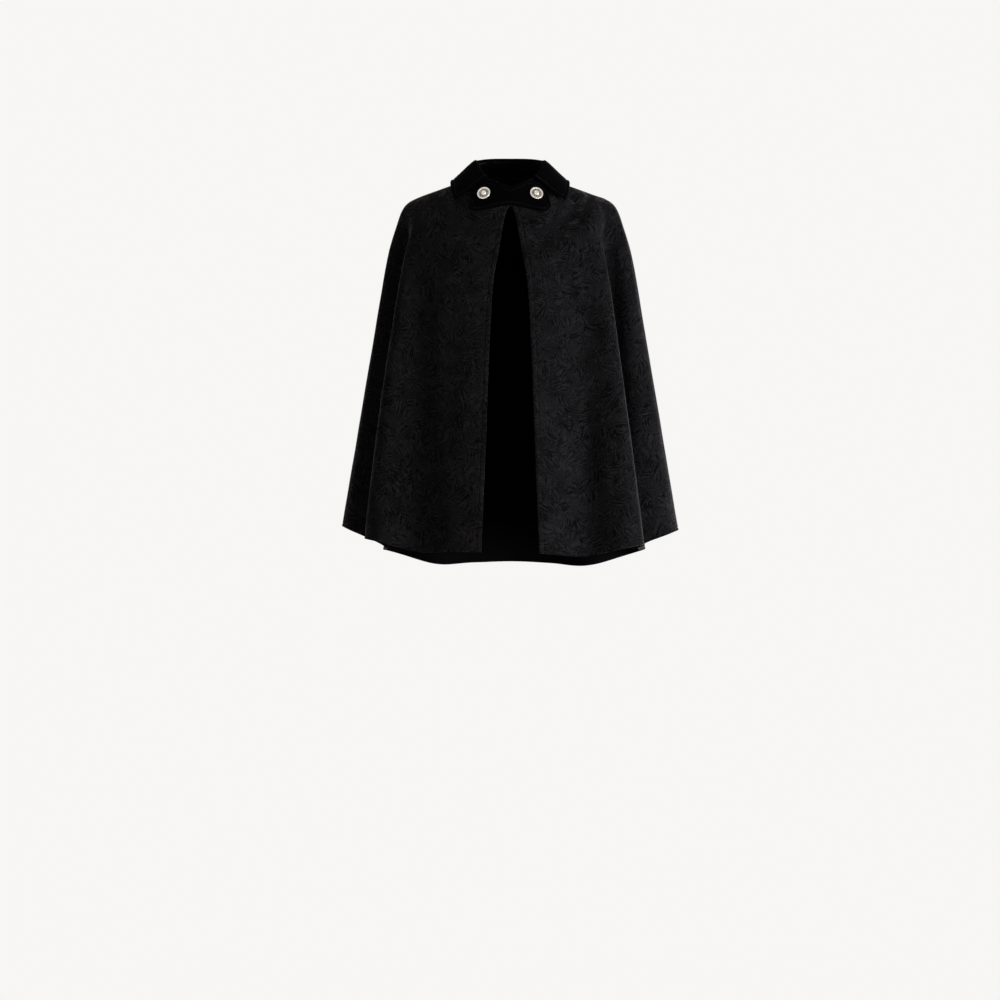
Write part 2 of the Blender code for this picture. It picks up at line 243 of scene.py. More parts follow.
# How round the edges are, and the least share of its thickness that an edge has
EDGE_RADIUS = 1.6
SEAM_RADIUS = 2.6
LEAST_EDGE = 0.2

# How far a stitched band puffs up, how deep its stitched line sinks and how wide that line is, and how far a
# stitch stands out, as a share of its thread
Sewn = namedtuple("Sewn", "puff depth width")
CLOTH_SEWN = Sewn(0.45, 0.8, 0.75)
VELVET_SEWN = Sewn(1.1, 1.0, 1.3)
STITCH_RISE = 0.1

# The leaves of the cloth's figure: half their size as shares of a frond's length, and how much of it fades
FROND_HALF_LENGTH, FROND_HALF_WIDTH = 0.66, 0.4
FROND_SOFT_EDGE = 0.35

# The small leaves among the large: their size and spacing as shares, their offset, and their strength
SMALL_FROND, SMALL_LEAFLET = 0.68, 0.72
SMALL_OFFSET, SMALL_STRENGTH = 0.37, 0.8

# The strokes of a leaf: their slant, how many lie across and along one spacing, how much they differ from
# leaf to leaf, and how deep and high they are
LEAST_SLANT, MOST_SLANT = -0.4, -1.5
STROKES_ACROSS, STROKES_ALONG = 1.5, 0.3
STROKE_VARIETY = 40.0
STROKE_DEPTH, STROKE_RISE = -0.4, 0.45

# The spacings of the other patterns, how far the leaves sway, and the scale of a diagonal wave whose ribs are
# two metres apart
SWAY, SWAY_REACH = 55.0, 12.0
NAP, PATCHES, TWILL = 2.5, 50.0, 1.6
BRUSHED, PILE = 22.0, 1.2
TWIST, PITS = 0.5, 1.6
TWO_METRE_WAVE = 0.2

# How much patches and nap tell in the cloth's tone, and nap in its relief, how weakly the cloth mirrors, and
# how dark or light the other patterns are against their own colours
PATCH_TONE, NAP_TONE, NAP_HEIGHT = 0.9, 0.8, 0.4
CLOTH_SPECULAR = 0.031
TWILL_SHADE, TWIST_SHADE, PILE_LIGHT = 0.6, 0.5, 3.2

# The camera, level with the middle of the picture, and how far the picture reaches at the neck
CAMERA_PLACE = Vector((-0.0195, -4.5, -0.628))
PICTURE_WIDTH = 1.95
SENSOR_WIDTH = 36.0

# The floor, how bright the backdrop is where it lights the cloak and where it is mirrored, and the softboxes
FLOOR_Z = -1.53
FLOOR_RADIUS = 40.0
GLOW, MIRRORED_GLOW = 0.01, 0.8
LIGHTS_AIM = Vector((0.0, 0.0, -0.38))
StageLight = namedtuple("StageLight", "name place size watts colour")
STAGE_LIGHTS = (
    StageLight("key_softbox", Vector((3.2, -1.65, -0.35)), 1.4, 60.0, "#f9faff"),
    StageLight("right_softbox", Vector((1.6, -3.1, -0.4)), 1.4, 12.0, "#fff6ec"),
    StageLight("left_softbox", Vector((-1.9, -3.0, -0.4)), 1.2, 6.0, "#fff3e4"),
    StageLight("top_softbox", Vector((-0.8, 0.3, 2.1)), 1.6, 2.5, "#fff8f0"),
    StageLight("left_strip", Vector((-2.6, 1.4, -0.3)), 1.8, 4.0, "#fff8f0"),
    StageLight("back_right_softbox", Vector((2.7, 3.2, -0.6)), 1.0, 75.0, "#ffffff"),
    StageLight("back_left_softbox", Vector((-1.5, 3.9, -0.4)), 1.2, 20.0, "#fff8f0"),
)


def linear(code):
    """The linear colour of an sRGB hex code, with full opacity."""
    shares = [int(code[i : i + 2], 16) / 255 for i in (1, 3, 5)]
    return (*(s / 12.92 if s <= 0.04045 else ((s + 0.055) / 1.055) ** 2.4 for s in shares), 1.0)


def length_property(name, description, default):
    """A length in metres that a user can change."""
    return FloatProperty(
        name=name, description=description, default=default, min=0.0, unit="LENGTH", precision=5
    )


def colour_property(name, description, code):
    """A colour that a user can change, from its sRGB hex code."""
    return FloatVectorProperty(
        name=name, description=description, default=linear(code), size=4, min=0.0, max=1.0, subtype="COLOR"
    )


class CloakSizes(bpy.types.PropertyGroup):
    """Sizes of the cloth, its sewing and its figure"""

    cloth: length_property("Cloth", "Thickness of the cloth", 0.002)
    velvet: length_property("Velvet", "Thickness of the doubled velvet", 0.003)
    stand: length_property("Stand", "Thickness of the collar's stand", 0.0025)
    front_band: length_property("Front band", "From a front edge to its stitched line", 0.0095)
    hem_band: length_property("Hem band", "From the hem to its stitched line", 0.0052)
    border: length_property("Velvet border", "From the velvet's edges to their stitched line", 0.0082)
    stitch: length_property("Stitch", "Length of one stitch", 0.003)
    stitch_gap: length_property("Stitch gap", "From one stitch to the next", 0.0009)
    thread: length_property("Thread", "Thickness of the sewing thread", 0.0006)
    frond: length_property("Frond", "Length of a large frond in the cloth's figure", 0.032)
    leaflet: length_property("Leaflet", "From one leaflet of a large frond to the next", 0.0044)
    petals: IntProperty(name="Petals", description="Petals round a button's middle", default=9, min=3)
    beads: IntProperty(name="Beads", description="Beads inside a button's rim", default=40, min=3)


class CloakColours(bpy.types.PropertyGroup):
    """Colours of the cloak and its stage"""

    ground: colour_property("Ground", "Dull ground of the cloth", "#0f0e0f")
    figure: colour_property("Figure", "Fronds woven into the cloth", "#353437")
    reverse: colour_property("Reverse", "Plain inner side of the cloth", "#1f1d20")
    nap: colour_property("Nap", "Fibre ends along the cloth's edges and folds", "#c9c5cc")
    velvet: colour_property("Velvet", "Depth of the velvet's pile", "#060607")
    pile: colour_property("Pile", "Tips of the velvet's pile", "#8a8690")
    thread: colour_property("Thread", "Sewing thread", "#1d1b1e")
    silver: colour_property("Silver", "Raised faces of the buttons", "#ebe6de")
    tarnish: colour_property("Tarnish", "Hollows of the buttons", "#40342b")
    floor: colour_property("Floor", "Floor and backdrop", "#f7f6f4")


def mix(a, b, share):
    """The value a share of the way from a to b."""
    return a + (b - a) * share


def eased(share):
    """Shares from 0 to 1 that set off and arrive gently."""
    share = np.clip(share, 0.0, 1.0)
    return share**2 * (3 - 2 * share)


def unit(vectors):
    """Vectors with their directions kept and a length of 1."""
    return vectors / np.linalg.norm(vectors, axis=-1, keepdims=True)


def between(rows, name, at):
    """One column of a table at places between its rows, on a smooth curve through all the rows."""
    places = np.array([row[0] for row in rows])
    values = np.array([getattr(row, name) for row in rows])
    order = np.arange(len(rows))
    before, after = np.maximum(order - 1, 0), np.minimum(order + 1, len(rows) - 1)
    slopes = (values[after] - values[before]) / (places[after] - places[before])
    i = np.clip(np.searchsorted(places, at, side="right") - 1, 0, len(rows) - 2)
    span = places[i + 1] - places[i]
    t = (at - places[i]) / span
    return (
        values[i] * (2 * t**3 - 3 * t**2 + 1)
        + values[i + 1] * (3 * t**2 - 2 * t**3)
        + span * slopes[i] * (t**3 - 2 * t**2 + t)
        + span * slopes[i + 1] * (t**3 - t**2)
    )


def hang(cosine, fullness):
    """How far a ring has dropped from its sides, 0, to its front or back, 1."""
    lean = np.abs(cosine)
    return lean**2 * (1 + fullness * (1 - lean))


def fold_height(turn, drop):
    """How far the folds push the cloth outwards, in millimetres."""
    height = np.zeros(np.broadcast(turn, drop).shape)
    for fold in FOLDS:
        way = np.maximum(0.0, (drop - fold.start) / (HEM - fold.start))
        away = (turn - mix(fold.turn_top, fold.turn_hem, way) + 180.0) % 360.0 - 180.0
        reach = np.where(away > 0.0, fold.high_reach, fold.low_reach)
        grown = (1 - (1 - np.minimum(way, 1.0)) ** fold.haste) * eased(way / FOLD_EASE)
        wave = np.cos(math.pi / 2 * np.clip(away / reach, -1.0, 1.0)) ** 2
        height += fold.depth * grown * wave
    return height


def cloak_points(turn, drop):
    """Points on the outside of the cloak's form, in metres."""
    turn, drop = np.broadcast_arrays(turn, drop)
    ring = Ring(drop, *(between(RINGS, name, drop) for name in Ring._fields[1:]))
    sine, cosine = np.sin(np.radians(turn)), np.cos(np.radians(turn))
    ahead = cosine > 0
    depth = np.where(ahead, ring.front_depth, ring.back_depth)
    z_end = np.where(ahead, ring.z_front, ring.z_back)
    outward = unit(np.stack([sine / ring.half_width, -cosine / depth, np.zeros_like(sine)], axis=-1))
    way = drop / HEM
    height = fold_height(turn, drop)
    z = mix(ring.z_side, z_end, hang(cosine, HEM_FULLNESS * way))
    z = z - HEM_TILT * sine * way + FLARE_RISE * height
    points = np.stack([ring.half_width * sine, -depth * cosine, z], axis=-1)
    return (points + outward * height[..., None]) * MM


def cloak_normals(turn, drop):
    """Outward unit normals of the cloak's form."""
    step = 0.05
    along = cloak_points(turn - step, drop) - cloak_points(turn + step, drop)
    down = cloak_points(turn, drop + step) - cloak_points(turn, drop - step)
    return unit(np.cross(along, down))


def mm_per_degree(turn, drop):
    """How many millimetres of cloth one degree of turn takes."""
    return np.linalg.norm(cloak_points(turn + 0.5, drop) - cloak_points(turn - 0.5, drop), axis=-1) / MM


def front_edge_turn(drop):
    """The turn of a front's free edge, which leaves half of the opening to its own side."""
    return np.degrees(np.arcsin(between(RINGS, "half_gap", drop) / between(RINGS, "half_width", drop)))


def grid_normals(points):
    """Normals of a grid of points with rows that run down and columns from the wearer's left to right."""
    return unit(np.cross(np.gradient(points, axis=1), np.gradient(points, axis=0)))


def run_along(points, axis):
    """How far each point of a grid lies along its own line, in millimetres."""
    steps = np.linalg.norm(np.diff(points, axis=axis), axis=-1) / MM
    run = np.cumsum(steps, axis=axis)
    return np.concatenate([np.zeros_like(np.take(run, [0], axis=axis)), run], axis=axis)


def from_ends(points, axis):
    """How far each point of a grid lies from the two ends of its own line, in millimetres."""
    run = run_along(points, axis)
    return run, np.take(run, [-1], axis=axis) - run


def fine_steps(line):
    """Distances from an edge in millimetres, close together over the edge and across a stitched line."""
    between_them = np.linspace(EDGE_STEPS[-1], line + LINE_STEPS[0], 4)[1:-1]
    return np.concatenate([EDGE_STEPS, between_them, line + LINE_STEPS])


def rounded(distance, radius):
    """How much of its thickness a piece has this far from its rounded edge, as a share."""
    share = np.clip(1 - distance / radius, 0.0, 1.0)
    return np.maximum(np.sqrt(1 - share**2), LEAST_EDGE)


def stitched(distance, line, sewn):
    """How far a band along an edge puffs up, and sinks again at its stitched line, in millimetres."""
    band = np.where(distance < line, np.sin(math.pi * np.clip(distance / line, 0.0, 1.0)), 0.0)
    return sewn.puff * band - sewn.depth * np.exp(-(((distance - line) / sewn.width) ** 2))


def crease_height(points):
    """How far the creases push the cloth outwards, in millimetres."""
    height = np.zeros(points.shape[:-1])
    share = np.linspace(0.0, 1.0, CREASE_STEPS)
    strength = np.sin(math.pi * share)
    for crease in CREASES:
        turn = mix(crease.turn_start, crease.turn_end, share) + crease.bow * strength
        path = cloak_points(turn, mix(crease.drop_start, crease.drop_end, share))
        reach = CREASE_WIDTHS * crease.width * MM
        near = np.all((points > path.min(axis=0) - reach) & (points < path.max(axis=0) + reach), axis=-1)
        away = np.linalg.norm(points[near][:, None] - path, axis=-1) / MM
        nearest = strength[away.argmin(axis=-1)]
        height[near] += crease.height * nearest * np.exp(-((away.min(axis=-1) / crease.width) ** 2))
    return height


def waver(points, depth):
    """A slight unevenness of the cloth, in millimetres."""
    places = points.reshape(-1, 3) / (WAVER_LENGTH * MM)
    return depth * np.array([noise.noise(Vector(place)) for place in places]).reshape(points.shape[:-1])


def level_line(points, normals, distance, level, axis):
    """Where a distance that grows along one way of a grid passes a level, as points with their normals."""
    both = np.moveaxis(np.concatenate([points, normals], axis=-1), axis, 0)
    away = np.moveaxis(distance, axis, 0)
    found = []
    for k in range(away.shape[1]):
        order = np.argsort(away[:, k], kind="stable")
        found.append([np.interp(level, away[order, k], both[order, k, i]) for i in range(6)])
    return np.array(found)


def smooth_mesh(name, bm, *materials):
    """The smooth mesh of a bmesh, which it frees, with its materials."""
    mesh = bpy.data.meshes.new(name)
    bm.to_mesh(mesh)
    bm.free()
    mesh.shade_smooth()
    for material in materials:
        mesh.materials.append(material)
    return mesh


def add_piece(name, mesh, replaced=()):
    """Puts a finished mesh into the scene as a piece of the cloak."""
    piece = bpy.data.objects.new(name, mesh)
    bpy.context.scene.collection.objects.link(piece)
    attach(piece, BODY)
    if replaced:
        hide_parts(*replaced)
    return piece


def add_sheet(name, points, share, thickness, materials):
    """A sheet on a grid of points, which are its outer face, and the share of its thickness at each."""
    rows, columns = points.shape[:2]
    bm = bmesh.new()
    bmesh.ops.create_grid(bm, x_segments=columns - 1, y_segments=rows - 1, size=0.5)
    mesh = smooth_mesh(name, bm, *materials)
    flat = np.zeros(len(mesh.vertices) * 3, np.float32)
    mesh.vertices.foreach_get("co", flat)
    places = flat.reshape(-1, 3) + 0.5
    column = np.rint(places[:, 0] * (columns - 1)).astype(int)
    row = np.rint(places[:, 1] * (rows - 1)).astype(int)
    mesh.vertices.foreach_set("co", points[row, column].astype(np.float32).ravel())

    across = run_along(points, 1) * MM
    across -= across[:, columns // 2, None]
    down = np.broadcast_to(run_along(points, 0)[:, columns // 2, None] * MM, across.shape)
    corners = np.zeros(len(mesh.loops), np.int32)
    mesh.loops.foreach_get("vertex_index", corners)
    laid = np.stack([across, -down], axis=-1)[row, column][corners]
    mesh.uv_layers.new(name="cut").uv.foreach_set("vector", laid.astype(np.float32).ravel())
    mesh.update()

    piece = add_piece(name, mesh, (name,))
    group = piece.vertex_groups.new(name="thickness")
    for index, weight in enumerate(share[row, column]):
        group.add((index,), float(weight), "REPLACE")
    wall = piece.modifiers.new("wall", "SOLIDIFY")
    wall.thickness = thickness
    wall.offset = -1.0
    wall.vertex_group = group.name
    wall.use_even_offset = True
    wall.use_quality_normals = True
    wall.material_offset = len(materials) - 1
    return piece


def add_stitches(name, paths):
    """Rows of sewn stitches, each path an array of points and normals, joined into one piece."""
    sizes = bpy.context.scene.cloak_sizes
    pitch = sizes.stitch + sizes.stitch_gap
    bm = bmesh.new()
    bmesh.ops.create_uvsphere(bm, u_segments=6, v_segments=5, radius=1.0)
    stitch = bpy.data.meshes.new("stitch")
    bm.to_mesh(stitch)
    bm.clear()
    for path in paths:
        along = np.concatenate([[0.0], np.cumsum(np.linalg.norm(np.diff(path[:, :3], axis=0), axis=1))])
        count = int(along[-1] / pitch)
        middles = (np.arange(count) + 0.5) * along[-1] / count
        ends = []
        for half in (-sizes.stitch / 2, sizes.stitch / 2):
            columns = [np.interp(middles + half, along, path[:, i]) for i in range(6)]
            ends.append(np.stack(columns, axis=1))
        for start, end in zip(*ends):
            middle, way = Vector((start + end)[:3] / 2), Vector((end - start)[:3]).normalized()
            normal = Vector((start + end)[3:]).normalized()
            side = normal.cross(way).normalized()
            turn = Matrix((way, side, way.cross(side))).transposed().to_4x4()
            size = Matrix.Diagonal((sizes.stitch / 2, sizes.thread / 2, sizes.thread / 2, 1.0))
            place = Matrix.Translation(middle + normal * sizes.thread * STITCH_RISE) @ turn @ size
            stitch.transform(place)
            bm.from_mesh(stitch)
            stitch.transform(place.inverted())
    bpy.data.meshes.remove(stitch)
    return add_piece(name, smooth_mesh(name, bm, made_of("cotton sewing thread", sewing_thread)))


def per_metre(spacing):
    """How often a pattern repeats in a metre, from its spacing in millimetres."""
    return 1 / (spacing * MM)


def shaded(colour, share):
    """A share of a colour's light, with full opacity."""
    return (*(value * share for value in colour[:3]), 1.0)


def set_inputs(tree, node, inputs):
    """Gives a node's inputs their values, or their links from other nodes' outputs."""
    for name, value in inputs.items():
        if isinstance(value, bpy.types.NodeSocket):
            tree.links.new(value, node.inputs[name])
        else:
            node.inputs[name].default_value = value


def add_node(tree, kind, inputs, **settings):
    """Adds a node with its inputs and settings, and returns its outputs."""
    node = tree.nodes.new("ShaderNode" + kind)
    for name, value in settings.items():
        setattr(node, name, value)
    set_inputs(tree, node, inputs)
    return node.outputs


def made_of(name, finish):
    """The material with this name, made at its first use. A finish gets the function that adds a node to the
    material, and gives the inputs of its shader."""
    material = bpy.data.materials.get(name)
    if material is None:
        material = bpy.data.materials.new(name)
        material.use_nodes = True
        tree = material.node_tree
        inputs = finish(partial(add_node, tree), bpy.context.scene.cloak_colours)
        set_inputs(tree, tree.nodes["Principled BSDF"], inputs)
    return material


def add_fronds(add, cut, length, leaflet, offset):
    """Feathery leaves that lie close together, each in its own direction: above 0 on their strokes, below 0
    between the strokes, and 0 where no leaf reaches."""
    half_length, half_width = length * FROND_HALF_LENGTH, length * FROND_HALF_WIDTH
    moved = add("VectorMath", {0: cut, 1: (offset, -offset, 0.0)}, operation="ADD")[0]
    cells = add("TexVoronoi", {"Vector": moved, "Scale": 1 / length}, voronoi_dimensions="2D")
    local = add("VectorMath", {0: moved, 1: cells["Position"]}, operation="SUBTRACT")[0]
    chance = add("SeparateColor", {"Color": cells["Color"]})
    angle = add("Math", {0: chance[0], 1: math.tau}, operation="MULTIPLY")[0]
    turned = add("VectorRotate", {"Vector": local, "Angle": angle}, rotation_type="Z_AXIS")[0]
    axes = add("SeparateXYZ", {"Vector": turned})
    aside = add("Math", {0: axes["Y"]}, operation="ABSOLUTE")[0]
    along = add("Math", {0: axes["X"], 1: 1 / half_length}, operation="MULTIPLY")[0]
    square = add("Math", {0: along, 1: 2.0}, operation="POWER")[0]
    reach = add("Math", {0: square, 1: -half_width, 2: half_width}, operation="MULTIPLY_ADD")[0]
    inside = add("Math", {0: reach, 1: aside}, operation="SUBTRACT")[0]
    within = add(
        "MapRange",
        {"Value": inside, "From Min": 0.0, "From Max": half_width * FROND_SOFT_EDGE},
        interpolation_type="SMOOTHSTEP",
    )[0]
    slant = add("MapRange", {"Value": chance[1], "To Min": LEAST_SLANT, "To Max": MOST_SLANT})[0]
    slanted = add("Math", {0: axes["Y"], 1: slant, 2: axes["X"]}, operation="MULTIPLY_ADD")[0]
    placed = add("CombineXYZ", {"X": slanted, "Y": axes["Y"], "Z": chance[2]})[0]
    closeness = (STROKES_ACROSS / leaflet, STROKES_ALONG / leaflet, STROKE_VARIETY)
    strokes = add("VectorMath", {0: placed, 1: closeness}, operation="MULTIPLY")[0]
    uneven = add("TexNoise", {"Vector": strokes, "Scale": 1.0, "Detail": 1.0})["Fac"]
    leaflets = add(
        "MapRange",
        {"Value": uneven, "From Min": 0.4, "From Max": 0.6, "To Min": STROKE_DEPTH, "To Max": STROKE_RISE},
        interpolation_type="SMOOTHSTEP",
    )[0]
    return add("Math", {0: leaflets, 1: within}, operation="MULTIPLY")[0]


def figured_cloth(add, colours):
    """Black wool cloth with a woven figure of feathery leaves. The ground is dull and slightly napped, and
    the leaves float over it as raised satin threads, so they take the light and the cloth looks mottled."""
    sizes = bpy.context.scene.cloak_sizes
    cut = add("UVMap", {}, uv_map="cut")["UV"]
    sway = add(
        "TexNoise", {"Vector": cut, "Scale": per_metre(SWAY), "Detail": 1.0}, noise_dimensions="2D"
    )["Color"]
    centred = add("VectorMath", {0: sway, 1: (0.5, 0.5, 0.5)}, operation="SUBTRACT")[0]
    push = (SWAY_REACH * MM, SWAY_REACH * MM, 0.0)
    bent = add("VectorMath", {0: centred, 1: push, 2: cut}, operation="MULTIPLY_ADD")[0]
    large = add_fronds(add, bent, sizes.frond, sizes.leaflet, 0.0)
    small = add_fronds(add, bent, sizes.frond * SMALL_FROND, sizes.leaflet * SMALL_LEAFLET, SMALL_OFFSET)
    figure = add("Math", {0: small, 1: SMALL_STRENGTH, 2: large}, operation="MULTIPLY_ADD")[0]
    # Tufts of nap about 2.5 mm apart, drawn at twice their size so that they show.
    tufts = add(
        "TexNoise", {"Vector": cut, "Scale": per_metre(NAP), "Detail": 3.0}, noise_dimensions="2D"
    )["Fac"]
    nap = add(
        "MapRange", {"Value": tufts, "From Min": 0.3, "From Max": 0.7, "To Min": -0.5, "To Max": 0.5}
    )[0]
    patches = add(
        "TexNoise", {"Vector": cut, "Scale": per_metre(PATCHES), "Detail": 3.0}, noise_dimensions="2D"
    )["Fac"]
    worn = add("Math", {0: patches, 1: PATCH_TONE, 2: figure}, operation="MULTIPLY_ADD")[0]
    tone = add("Math", {0: nap, 1: NAP_TONE, 2: worn}, operation="MULTIPLY_ADD", use_clamp=True)[0]
    colour = add("Mix", {"Factor": tone, 6: colours.ground, 7: colours.figure}, data_type="RGBA")[2]
    rough = add("MapRange", {"Value": figure, "From Min": STROKE_DEPTH, "To Min": 0.92, "To Max": 0.62})[0]
    height = add("Math", {0: nap, 1: NAP_HEIGHT, 2: figure}, operation="MULTIPLY_ADD")[0]
    bump = add("Bump", {"Height": height, "Strength": 0.8, "Distance": 0.6 * MM})[0]
    return {
        "Base Color": colour,
        "Roughness": rough,
        "Normal": bump,
        "Specular IOR Level": CLOTH_SPECULAR,
        "Sheen Weight": 0.85,
        "Sheen Roughness": 0.26,
        "Sheen Tint": colours.nap,
    }


def cloth_reverse(add, colours):
    """The wool cloth's plain inner side: a dull black twill with no figure, whose fine diagonal ribs show
    close up."""
    cut = add("UVMap", {}, uv_map="cut")["UV"]
    # Twill ribs 1.6 mm apart, drawn at twice their size so that they show.
    twill = add(
        "TexWave",
        {"Vector": cut, "Scale": TWO_METRE_WAVE * per_metre(TWILL), "Distortion": 1.5, "Detail": 1.0},
        bands_direction="DIAGONAL",
    )["Fac"]
    dark = shaded(colours.reverse, TWILL_SHADE)
    colour = add("Mix", {"Factor": twill, 6: dark, 7: colours.reverse}, data_type="RGBA")[2]
    bump = add("Bump", {"Height": twill, "Strength": 0.5, "Distance": 0.3 * MM})[0]
    return {"Base Color": colour, "Normal": bump, "Roughness": 0.95, "Specular IOR Level": CLOTH_SPECULAR}


def cotton_velvet(add, colours):
    """Black cotton velvet. Its upright pile swallows light from the front and shines where it is seen edge
    on, and brushed patches lie a little lighter or darker."""
    cut = add("UVMap", {}, uv_map="cut")["UV"]
    brushed = add(
        "TexNoise", {"Vector": cut, "Scale": per_metre(BRUSHED), "Detail": 2.0}, noise_dimensions="2D"
    )["Fac"]
    # Tufts of pile about 1.2 mm apart, drawn at twice their size so that they show.
    tufts = add(
        "TexNoise", {"Vector": cut, "Scale": per_metre(PILE), "Detail": 2.0}, noise_dimensions="2D"
    )["Fac"]
    tone = add("Math", {0: brushed, 1: tufts}, operation="MULTIPLY")[0]
    light = shaded(colours.velvet, PILE_LIGHT)
    colour = add("Mix", {"Factor": tone, 6: colours.velvet, 7: light}, data_type="RGBA")[2]
    bump = add("Bump", {"Height": tufts, "Strength": 0.5, "Distance": 0.4 * MM})[0]
    return {
        "Base Color": colour,
        "Normal": bump,
        "Roughness": 0.95,
        "Specular IOR Level": 0.02,
        "Sheen Weight": 0.7,
        "Sheen Roughness": 0.28,
        "Sheen Tint": colours.pile,
    }


def sewing_thread(add, colours):
    """Black mercerised cotton thread, a little glossier than the cloth, with its twist as fine bands."""
    place = add("TexCoord", {})["Object"]
    # Twists 0.5 mm long, drawn at twice their size so that they show.
    twist = add(
        "TexWave",
        {"Vector": place, "Scale": TWO_METRE_WAVE * per_metre(TWIST)},
        bands_direction="DIAGONAL",
    )["Fac"]
    dark = shaded(colours.thread, TWIST_SHADE)
    colour = add("Mix", {"Factor": twist, 6: dark, 7: colours.thread}, data_type="RGBA")[2]
    return {"Base Color": colour, "Roughness": 0.6, "Specular IOR Level": 0.25}


def cast_silver(add, colours):
    """Silver-plated cast pewter, polished where it is raised and left dark and dull in its hollows."""
    hollow = add("Attribute", {}, attribute_name="hollow")["Fac"]
    place = add("TexCoord", {})["Object"]
    pitted = add("TexNoise", {"Vector": place, "Scale": per_metre(PITS), "Detail": 3.0})["Fac"]
    worn = add("MapRange", {"Value": pitted, "From Min": 0.3, "From Max": 0.7, "To Min": 0.6})[0]
    stained = add("Math", {0: hollow, 1: worn}, operation="MULTIPLY")[0]
    colour = add("Mix", {"Factor": stained, 6: colours.silver, 7: colours.tarnish}, data_type="RGBA")[2]
    rough = add("MapRange", {"Value": stained, "To Min": 0.24, "To Max": 0.55})[0]
    bump = add("Bump", {"Height": pitted, "Strength": 0.15, "Distance": 0.2 * MM})[0]
    return {"Base Color": colour, "Roughness": rough, "Normal": bump, "Metallic": 1.0}


def floor_paint(_, colours):
    """A pale matt paint that glows by itself, so that the floor looks alike all over and takes no shadow."""
    return {
        "Base Color": linear("#000000"),
        "Specular IOR Level": 0.0,
        "Emission Color": colours.floor,
        "Emission Strength": 1.0,
    }


def panel_drops(plain):
    """The drops of a panel's rows, close together at the neck edge and at the hem."""
    hem_band = bpy.context.scene.cloak_sizes.hem_band / MM
    top = EDGE_STEPS / MM_PER_DROP
    low = HEM - fine_steps(hem_band)[::-1] / MM_PER_DROP
    return np.concatenate([top, np.linspace(top[-1], low[0], plain + 2)[1:-1], low])


def panel_turns(high, low, high_steps, low_steps, plain, drops):
    """The turns of a panel's columns, close together at its edges, from high turns to low ones."""
    first = high[:, None] - high_steps / mm_per_degree(high, drops)[:, None]
    last = low[:, None] + low_steps[::-1] / mm_per_degree(low, drops)[:, None]
    share = np.linspace(0.0, 1.0, plain + 2)[1:-1]
    return np.concatenate([first, mix(first[:, -1:], last[:, :1], share), last], axis=1)


def add_panel(name, turns, drops, free_edge):
    """A cloth panel between two edges, which are seams, apart from a front's free one."""
    sizes = bpy.context.scene.cloak_sizes
    hem_line, front_line = sizes.hem_band / MM, sizes.front_band / MM
    form = cloak_points(turns, drops[:, None])
    normals = cloak_normals(turns, drops[:, None])
    from_first, from_last = from_ends(form, 1)
    from_neck, from_hem = from_ends(form, 0)
    share = rounded(from_hem, EDGE_RADIUS) * rounded(from_neck, EDGE_RADIUS)
    height = crease_height(form) + waver(form, CLOTH_WAVER) + stitched(from_hem, hem_line, CLOTH_SEWN)
    edges = {"first": from_first, "last": from_last}
    for edge, distance in edges.items():
        if edge == free_edge:
            share = share * rounded(distance, EDGE_RADIUS)
            height = height + stitched(distance, front_line, CLOTH_SEWN)
        else:
            share = share * rounded(distance, SEAM_RADIUS)
    height -= (1 - share) * sizes.cloth / MM / 2
    points = form + normals * height[..., None] * MM
    cloth = (made_of("figured wool cloth", figured_cloth), made_of("wool cloth reverse", cloth_reverse))
    panel = add_sheet(name, points, share, sizes.cloth, cloth)
    hem = level_line(points, normals, from_hem, hem_line, 0)
    rows = [hem]
    if free_edge:
        inside = edges[free_edge]
        edge = level_line(points, normals, inside, front_line, 1)
        rows = [edge[from_hem[:, 0] > hem_line], hem[inside[-1] > front_line]]
    return panel, add_stitches(name + "_stitches", rows)


class CLOAK_OT_add_fronts(bpy.types.Operator):
    """Add the two front panels, open down the middle, with their stitched edges"""

    bl_idname = "cloak.add_fronts"
    bl_label = "Fronts"

    def execute(self, context):
        band = fine_steps(context.scene.cloak_sizes.front_band / MM)
        drops = panel_drops(PANEL_ROWS)
        seam = np.full_like(drops, SIDE_SEAM_TURN)
        edge = front_edge_turn(drops)
        left = panel_turns(seam, edge, EDGE_STEPS, band, FRONT_COLUMNS, drops)
        right = panel_turns(-edge, -seam, band, EDGE_STEPS, FRONT_COLUMNS, drops)
        for name, turns, free_edge in (("front_left", left, "last"), ("front_right", right, "first")):
            front, stitches = add_panel(name, turns, drops, free_edge)
        return {"FINISHED"}


class CLOAK_OT_add_back(bpy.types.Operator):
    """Add the back panel, between the two side seams"""

    bl_idname = "cloak.add_back"
    bl_label = "Back"

    def execute(self, context):
        drops = panel_drops(PANEL_ROWS)
        high = np.full_like(drops, 360.0 - SIDE_SEAM_TURN)
        low = np.full_like(drops, SIDE_SEAM_TURN)
        turns = panel_turns(high, low, EDGE_STEPS, EDGE_STEPS, BACK_COLUMNS, drops)
        back, stitches = add_panel("back", turns, drops, None)
        return {"FINISHED"}


def stand_top(turn):
    """The middle of the upper edge of the collar's stand."""
    sine, cosine = np.sin(np.radians(turn)), np.cos(np.radians(turn))
    ahead = cosine > 0
    depth = np.where(ahead, STAND_TOP_FRONT_DEPTH, STAND_TOP_BACK_DEPTH)
    z_end = np.where(ahead, STAND_TOP_FRONT, STAND_TOP_BACK)
    z = mix(STAND_TOP_SIDE, z_end, hang(cosine, STAND_FULLNESS))
    return np.stack([STAND_TOP_HALF_WIDTH * sine, -depth * cosine, z], axis=-1) * MM


def level_outward(points):
    """The level unit vectors that point away from the neck's middle."""
    return unit(points * (1.0, 1.0, 0.0))


